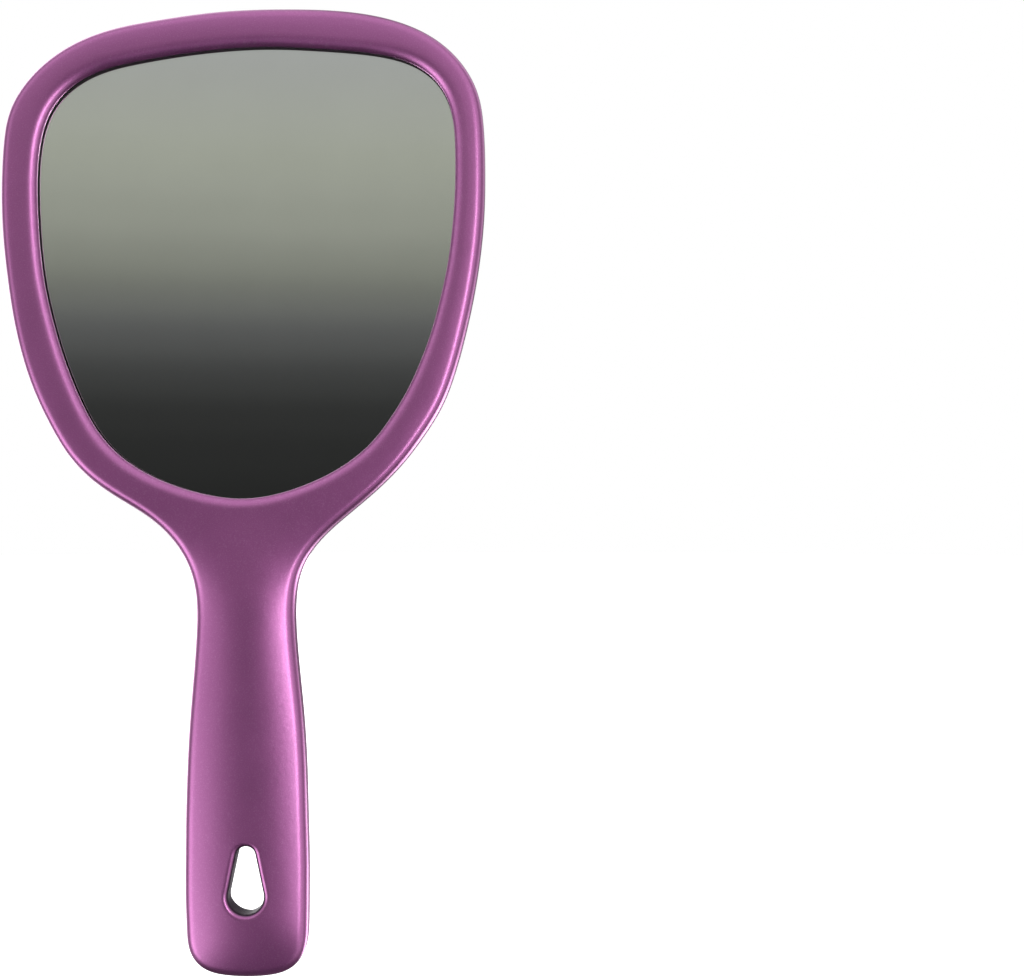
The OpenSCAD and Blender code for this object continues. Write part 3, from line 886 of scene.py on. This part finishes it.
for cad in ("foam_pad_upper_cup", "foam_pad_lower_cup", "foam_pad_left_post", "foam_pad_right_post"):
    lo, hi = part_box(cad)
    r, y0, y1 = (hi.x - lo.x) * 500, lo.y * 1000, hi.y * 1000
    c = centre_of(cad)
    prof = [(0, y0)] + [(r * k, y0) for k in (0.35, 0.7)] + [(r - 0.32, y0)]
    for k in range(7):
        a = math.pi * (k / 6 - 0.5)
        prof.append((r - 0.25 + 0.25 * math.cos(a) ** 0.7 if abs(math.cos(a)) > 1e-9 else r - 0.25, (y0 + y1) / 2 + (y1 - y0) / 2 * math.sin(a) * 0.995))
    prof += [(r - 0.32, y1)] + [(r * k, y1) for k in (0.7, 0.35)] + [(0, y1)]
    t = piece(cad.replace("foam_pad_", "foam_") + "_pad", lathe(c, prof, 96), cad, [FOAM_PAD], 40)

# ---------------------------------------------------------------- floor, backdrop and light
FLOOR = cad_lo[2] - 0.18


def stage_sheet():
    """A round flat floor, 8 m in radius."""
    b = Builder()
    rings = []
    n = 96
    for r in (0.0, 0.2, 0.5, 1.0, 2.0, 4.0, 8.0):
        rings.append((r, 0.0))
    mid = int(b.add([[0, FLOOR * 1000, 0]])[0])
    last = None
    for r, z in rings[1:]:
        a = np.arange(n) * 2 * math.pi / n
        idx = b.add(np.column_stack([r * 1000 * np.cos(a), r * 1000 * np.sin(a), np.full(n, (FLOOR + z) * 1000)]))
        if last is None:
            for i in range(n):
                b.f.append((mid, idx[i], idx[(i + 1) % n]))
        else:
            for i in range(n):
                j = (i + 1) % n
                b.f.append((last[i], idx[i], idx[j], last[j]))
        last = idx
    b.v[0] = np.array([[0, 0, FLOOR * 1000]])
    return b.mesh("floor")


floor = bpy.data.objects.new("floor", stage_sheet())
scene.collection.objects.link(floor)
fm, nt, p = material("pale_floor")
co = nt.nodes.new("ShaderNodeTexCoord").outputs["Object"]
nt.links.new(mix(nt, (0.93, 0.93, 0.93, 1), (0.9, 0.9, 0.9, 1), noise(nt, co, 3, 3)), p.inputs["Base Color"])
p.inputs["Roughness"].default_value = 0.9
p.inputs["Emission Color"].default_value = (1, 1, 1, 1)
p.inputs["Emission Strength"].default_value = 1.0
floor.data.materials.append(fm)
floor.visible_glossy = floor.visible_diffuse = floor.visible_transmission = False


def math_node(nt, operation, a, b=None):
    n = node(nt, "ShaderNodeMath", operation=operation)
    for i, x in ((0, a), (1, b)):
        if x is None:
            continue
        if hasattr(x, "links"):
            nt.links.new(x, n.inputs[i])
        else:
            n.inputs[i].default_value = x
    return n.outputs[0]


def smooth(nt, source, a, b, c=0.0, d=1.0):
    """c below a, d above b, and a soft step between."""
    n = node(nt, "ShaderNodeMapRange")
    n.interpolation_type = "SMOOTHSTEP"
    n.inputs["From Min"].default_value, n.inputs["From Max"].default_value = a, b
    n.inputs["To Min"].default_value, n.inputs["To Max"].default_value = c, d
    nt.links.new(source, n.inputs["Value"])
    return n.outputs["Result"]


def world():
    """White to the camera. What lights the object is a room: dark behind the camera, grey above that, and white low down on the left.
    Each side has its own heights for the greys, and the side at the back also has a bright screen and the window the lower round mirror sees."""
    w = bpy.data.worlds.new("studio")
    scene.world = w
    w.use_nodes = True
    nt = w.node_tree
    for n in list(nt.nodes):
        nt.nodes.remove(n)
    out = nt.nodes.new("ShaderNodeOutputWorld")
    way = nt.nodes.new("ShaderNodeTexCoord").outputs["Generated"]
    xyz = nt.nodes.new("ShaderNodeSeparateXYZ")
    nt.links.new(way, xyz.inputs[0])
    up = math_node(nt, "MULTIPLY", math_node(nt, "ARCSINE", xyz.outputs["Z"]), 180 / math.pi)
    rear = math_node(nt, "GREATER_THAN", xyz.outputs["Y"], 0.0)
    side = math_node(nt, "MULTIPLY", xyz.outputs["X"], math_node(nt, "SUBTRACT", 1.0, math_node(nt, "MULTIPLY", rear, 2.0)))
    turn = math_node(nt, "MULTIPLY", math_node(nt, "ARCTAN2", side, math_node(nt, "ABSOLUTE", xyz.outputs["Y"])), 180 / math.pi)
    part = spread(nt, up, -25, 35, 0, 1)

    def ramp(stops):
        r = nt.nodes.new("ShaderNodeValToRGB")
        r.color_ramp.interpolation = "CARDINAL"
        while len(r.color_ramp.elements) > 1:
            r.color_ramp.elements.remove(r.color_ramp.elements[-1])
        for k, (deg, v, warm) in enumerate(stops):
            at = (deg + 25) / 60
            e = r.color_ramp.elements[0] if k == 0 else r.color_ramp.elements.new(at)
            e.position = at
            e.color = (v * (1 - 0.02 * warm), v, v * (1 - 0.13 * warm), 1)
        nt.links.new(part, r.inputs[0])
        return r.outputs["Color"]

    middle = mix(nt, ramp(AHEAD), ramp(BEHIND), rear)
    # to both sides
    around = smooth(nt, up, 5, 50, AROUND[0], AROUND[1])
    around = math_node(nt, "ADD", around, math_node(nt, "MULTIPLY", rear, smooth(nt, up, 14, 50, 0, 0.3)))
    around = math_node(nt, "MULTIPLY", around, smooth(nt, up, -58, -24, 0.1, 1.0))
    around = math_node(nt, "MULTIPLY", around, smooth(nt, math_node(nt, "ABSOLUTE", turn), 58, 82, 1.0, 0.36))
    grey = nt.nodes.new("ShaderNodeCombineColor")
    for i in range(3):
        nt.links.new(around, grey.inputs[i])
    window = math_node(nt, "MULTIPLY", smooth(nt, turn, -52, -24), smooth(nt, turn, 12, 36, 1, 0))
    both = mix(nt, grey.outputs[0], middle, window)
    # the bright window that the lower round mirror sees
    pane = math_node(nt, "MULTIPLY", smooth(nt, turn, -7, -5), smooth(nt, turn, 8, 10, 1, 0))
    pane = math_node(nt, "MULTIPLY", pane, math_node(nt, "MULTIPLY", smooth(nt, up, 0.4, 1.2), smooth(nt, up, 7.7, 8.3, 1, 0)))
    pane = math_node(nt, "MULTIPLY", pane, rear)
    both = mix(nt, both, (0.97, 0.97, 0.98, 1), pane)
    # the large pale screen on the right of the rear half
    wide = math_node(nt, "MULTIPLY", smooth(nt, turn, 2, 22), smooth(nt, up, -28, -8))
    wide = math_node(nt, "MULTIPLY", math_node(nt, "MULTIPLY", wide, smooth(nt, up, 28, 62, 1, 0)), rear)
    wide = math_node(nt, "MULTIPLY", wide, math_node(nt, "SUBTRACT", 1.0, pane))
    wide = math_node(nt, "MULTIPLY", wide, smooth(nt, turn, 46, 70, 1, 0))
    both = mix(nt, both, (SCREEN, SCREEN, SCREEN, 1), wide)
    # the pale pool low on the left
    low = math_node(nt, "MULTIPLY", smooth(nt, up, -20, -1, 1, 0), smooth(nt, up, -44, -26))
    left = math_node(nt, "MULTIPLY", smooth(nt, turn, -82, -60), smooth(nt, turn, -44, -14, 1, 0))
    pool = math_node(nt, "MULTIPLY", low, left)
    light = mix(nt, (POOL[0], POOL[0], POOL[0], 1), (POOL[1], POOL[1], POOL[1], 1), rear)
    both = mix(nt, both, light, pool)
    bg = nt.nodes.new("ShaderNodeBackground")
    nt.links.new(both, bg.inputs["Color"])
    bg.inputs["Strength"].default_value = 1.0
    white = nt.nodes.new("ShaderNodeBackground")
    white.inputs["Color"].default_value = (1, 1, 1, 1)
    white.inputs["Strength"].default_value = 1.0
    ray = nt.nodes.new("ShaderNodeLightPath")
    pick = nt.nodes.new("ShaderNodeMixShader")
    nt.links.new(ray.outputs["Is Camera Ray"], pick.inputs[0])
    nt.links.new(bg.outputs[0], pick.inputs[1])
    nt.links.new(white.outputs[0], pick.inputs[2])
    nt.links.new(pick.outputs[0], out.inputs[0])


# elevation in degrees, brightness, and how warm it is
AHEAD = [(-25, 0.03, -3), (-15, 0.1, -0.5), (-6, 0.06, 0), (-1, 0.026, 0), (1, 0.026, 0), (2, 0.03, 0), (3.2, 0.041, 0), (4.6, 0.0745, 0), (6, 0.131, 0.2), (7.4, 0.213, 0.9), (8.8, 0.298, 1), (10.2, 0.349, 1),
         (12.2, 0.4, 0.9), (15.2, 0.405, 0.1), (18, 0.48, 0), (24, 0.8, 0), (35, 1.0, 0)]
BEHIND = [(-25, 0.2, 0), (-14, 0.16, 0), (-5, 0.1, 0), (5, 0.06, 0), (8.6, 0.1, 0), (9.1, 0.1, 0), (9.46, 0.116, 0), (9.62, 0.13, 0.2), (9.79, 0.187, 0.7),
          (9.94, 0.262, 1), (10.1, 0.35, 1), (10.26, 0.42, 1), (10.5, 0.46, 0.9), (12, 0.48, 0.2), (24, 0.45, 0), (35, 0.4, 0)]
SCREEN = 2.5
POOL = (3.4, 6.0)
AROUND = (0.95, 1.1)
world()


def softbox(name, at, aim, wide, high, watts, tint=(1, 1, 1)):
    data = bpy.data.lights.new(name, "AREA")
    data.shape = "RECTANGLE"
    data.size, data.size_y = wide, high
    data.energy = watts
    data.color = tint
    o = bpy.data.objects.new(name, data)
    scene.collection.objects.link(o)
    o.location = at
    o.rotation_euler = (Vector(aim) - Vector(at)).to_track_quat("-Z", "Y").to_euler()
    return o


MIDDLE = tuple((Vector(cad_lo) + Vector(cad_hi)) / 2)
def round_the_object(turn, up, far, rear=False):
    """A place far from the object's middle, turn degrees to the right of whoever faces it."""
    t, e = math.radians(turn), math.radians(up)
    x, y = math.sin(t) * math.cos(e) * far, -math.cos(t) * math.cos(e) * far
    return (MIDDLE[0] - x, MIDDLE[1] - y, MIDDLE[2] + math.sin(e) * far) if rear else (MIDDLE[0] + x, MIDDLE[1] + y, MIDDLE[2] + math.sin(e) * far)


softbox("key_front", round_the_object(24, -3, 1.5), MIDDLE, 0.3, 0.9, 6.6)
softbox("key_back", round_the_object(34, -4, 1.5, True), MIDDLE, 0.4, 0.7, 1.2)

scene.view_settings.view_transform = "Standard"
scene.view_settings.look = "None"
scene.view_settings.exposure = 0.0
